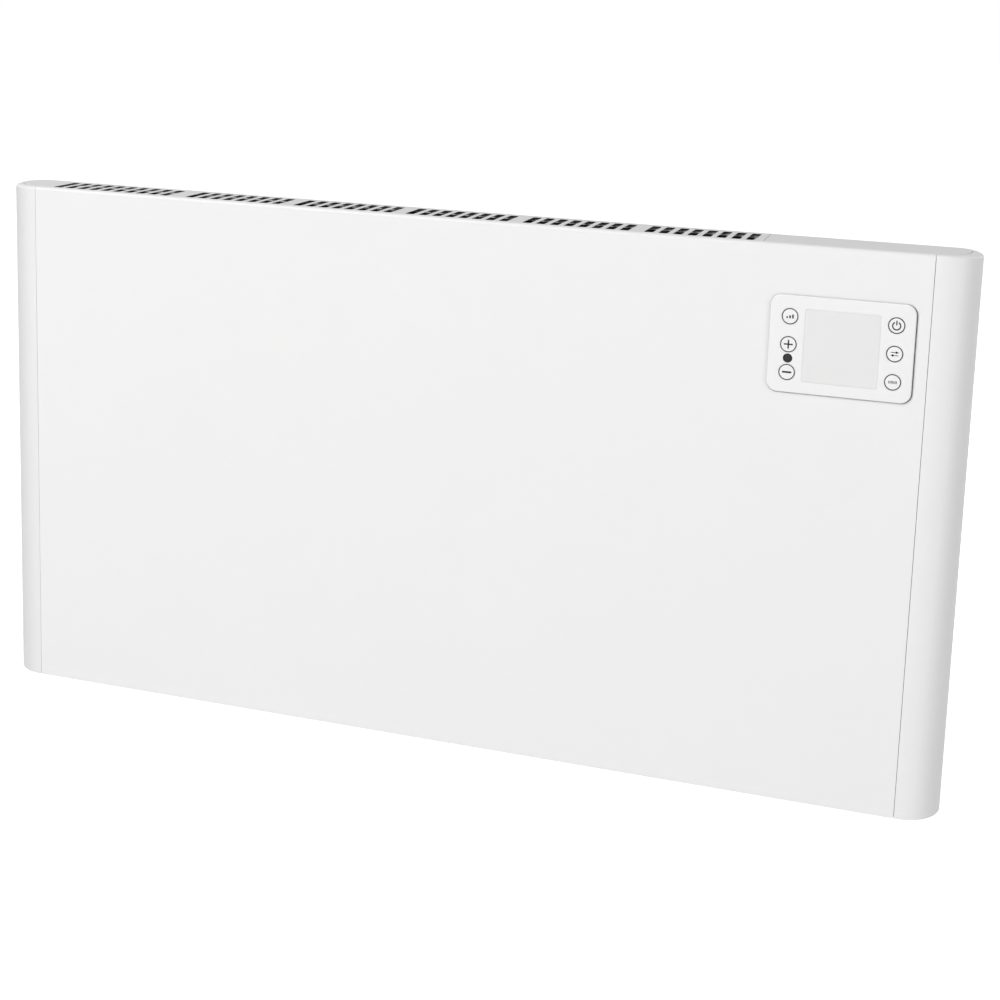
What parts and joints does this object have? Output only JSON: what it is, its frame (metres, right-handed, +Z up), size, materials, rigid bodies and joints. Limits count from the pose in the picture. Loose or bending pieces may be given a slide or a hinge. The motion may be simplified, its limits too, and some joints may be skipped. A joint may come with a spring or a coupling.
{
  "type": "wall panel convector heater",
  "caption": "Slim electric wall convector with a flat front, rounded ends, a slotted air outlet along the top, a control fascia with display and push keys, on a hang-on wall bracket.",
  "frame": {"origin": "middle of the wall bracket crossbar's rear face, on the wall", "axes": "+X to the right of a person facing the heater, +Y into the wall, +Z up"},
  "size_m": [0.796, 0.0723, 0.437],
  "materials": {
    "white_paint": "smooth semi-matt white powder coat",
    "white_plastic": "fine satin moulded plastic",
    "fascia_plastic": "smooth satin-gloss moulded plastic",
    "display_glass": "clear-coated pale grey display, switched off",
    "black_lens": "dark infrared lens",
    "aluminium": "mill finish",
    "zinc_steel": "zinc-coated sheet",
    "ceramic": "unglazed steatite",
    "circuit_board": "solder resist",
    "black_plastic": "satin moulded plastic",
    "grey_plastic": "satin moulded plastic",
    "cutout_metal": "plated can on a strip"
  },
  "bodies": {
    "wall_bracket": {"bracket_crossbar": "zinc_steel", "bracket_upright_left": "zinc_steel", "bracket_upright_right": "zinc_steel"},
    "heater": {"front_panel": "white_paint", "rear_panel": "white_paint", "end_column_right": "white_plastic", "end_column_left": "white_plastic", "top_grille": "white_plastic", "top_cover": "white_plastic", "bottom_grille": "white_paint", "bay_divider": "zinc_steel", "control_fascia": "fascia_plastic", "display_window": "display_glass", "display_module": "grey_plastic", "receiver_lens": "black_lens", "control_board": "circuit_board", "power_board": "circuit_board", "relay": "black_plastic", "suppression_capacitor": "grey_plastic", "heat_sink": "aluminium", "terminal_block": "white_plastic", "switch_housing": "black_plastic", "cable_gland": "black_plastic", "heating_element": "aluminium", "reflector": "aluminium", "element_plug_left": "ceramic", "element_bracket_left": "zinc_steel", "element_plug_right": "ceramic", "element_bracket_right": "zinc_steel", "thermal_cutout": "cutout_metal", "sensor_clip": "black_plastic", "room_sensor": "black_plastic"},
    "mode_key": {"key_mode": "fascia_plastic"},
    "plus_key": {"key_plus": "fascia_plastic"},
    "minus_key": {"key_minus": "fascia_plastic"},
    "power_key": {"key_power": "fascia_plastic"},
    "set_key": {"key_set": "fascia_plastic"},
    "week_key": {"key_week": "fascia_plastic"},
    "mains_rocker": {"switch_rocker": "black_plastic"}
  },
  "joints": [
    {"name": "heater_lift_off", "type": "slide", "parent": "wall_bracket", "child": "heater", "axis": [0, 0, 1], "range_m": [0, 0.0063]},
    {"name": "mode_key_press", "type": "slide", "parent": "heater", "child": "mode_key", "axis": [0, 1, 0], "range_m": [0, 0.0008], "stiffness_N_per_m": 800, "springref_m": -0.0006},
    {"name": "plus_key_press", "type": "slide", "parent": "heater", "child": "plus_key", "axis": [0, 1, 0], "range_m": [0, 0.0008], "stiffness_N_per_m": 800, "springref_m": -0.0006},
    {"name": "minus_key_press", "type": "slide", "parent": "heater", "child": "minus_key", "axis": [0, 1, 0], "range_m": [0, 0.0008], "stiffness_N_per_m": 800, "springref_m": -0.0006},
    {"name": "power_key_press", "type": "slide", "parent": "heater", "child": "power_key", "axis": [0, 1, 0], "range_m": [0, 0.0008], "stiffness_N_per_m": 800, "springref_m": -0.0006},
    {"name": "set_key_press", "type": "slide", "parent": "heater", "child": "set_key", "axis": [0, 1, 0], "range_m": [0, 0.0008], "stiffness_N_per_m": 800, "springref_m": -0.0006},
    {"name": "week_key_press", "type": "slide", "parent": "heater", "child": "week_key", "axis": [0, 1, 0], "range_m": [0, 0.0008], "stiffness_N_per_m": 800, "springref_m": -0.0006},
    {"name": "mains_rocker_tilt", "type": "hinge", "parent": "heater", "child": "mains_rocker", "pos_m": [0.292, -0.046, -0.2164], "axis": [0, 1, 0], "range_deg": [-20, 0]}
  ]
}
